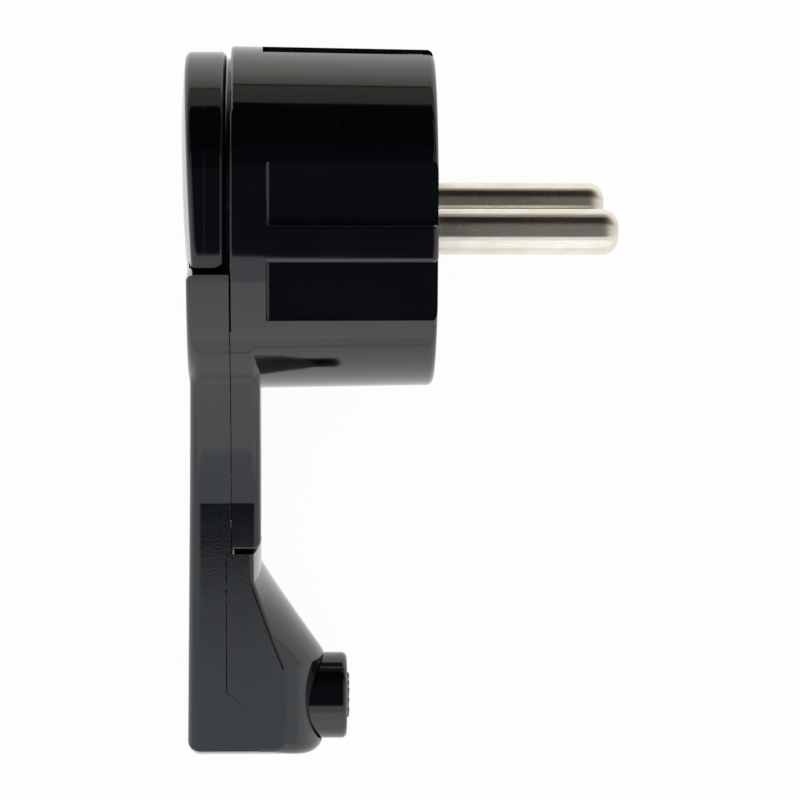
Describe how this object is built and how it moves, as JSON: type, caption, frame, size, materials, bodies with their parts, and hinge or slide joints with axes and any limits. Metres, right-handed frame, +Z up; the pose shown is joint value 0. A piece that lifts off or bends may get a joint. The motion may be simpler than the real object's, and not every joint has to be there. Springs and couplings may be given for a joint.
{
  "type": "flat earthed mains plug with switch",
  "caption": "Flat earthed mains plug with round pins, side clips, a fold-out pull handle round a boss, and a tapered foot with a push-button switch.",
  "frame": {"origin": "on the table under the middle of the plug's box, with the plug lying on its side", "axes": "+X along the pins towards their tips, +Y up the plug away from its foot, +Z up from the table"},
  "size_m": [0.0456, 0.0762, 0.0364],
  "materials": {
    "housing_plastic": "smooth black moulded plastic",
    "handle_plastic": "smooth black moulded plastic",
    "foot_plastic": "fine satin black moulded plastic",
    "button_plastic": "smooth black moulded plastic",
    "insulating_plastic": "pale glass-filled plastic",
    "nickel_plated_brass": "bright nickel plate on brass",
    "contact_brass": "rolled brass strip",
    "spring_steel": "drawn wire",
    "screw_steel": "zinc-plated steel",
    "lead_insulation": "soft brown insulation"
  },
  "bodies": {
    "housing": {"front_housing": "housing_plastic", "rear_housing": "foot_plastic", "switch_cover": "foot_plastic", "button_spring": "spring_steel", "switch_base": "insulating_plastic", "line_contact": "contact_brass", "load_contact": "contact_brass", "live_pin": "nickel_plated_brass", "neutral_pin": "nickel_plated_brass", "pin_carrier": "insulating_plastic", "earth_strap": "nickel_plated_brass", "earth_tube": "nickel_plated_brass", "terminal_screws": "screw_steel", "housing_screws": "screw_steel", "cord_clamp": "insulating_plastic", "clamp_screws": "screw_steel", "switched_lead": "lead_insulation"},
    "handle": {"pull_handle": "handle_plastic"},
    "button": {"push_button": "button_plastic", "contact_bridge": "contact_brass"}
  },
  "joints": [
    {"name": "handle_hinge", "type": "hinge", "parent": "housing", "child": "handle", "pos_m": [-0.0202, 0.01942, 0.0181], "axis": [0, -0.1919, 0.9814], "range_deg": [0, 95]},
    {"name": "button_slide", "type": "slide", "parent": "housing", "child": "button", "axis": [-1, 0, 0], "range_m": [0, 0.0022], "stiffness_N_per_m": 800, "deforming": ["button_spring"]}
  ]
}
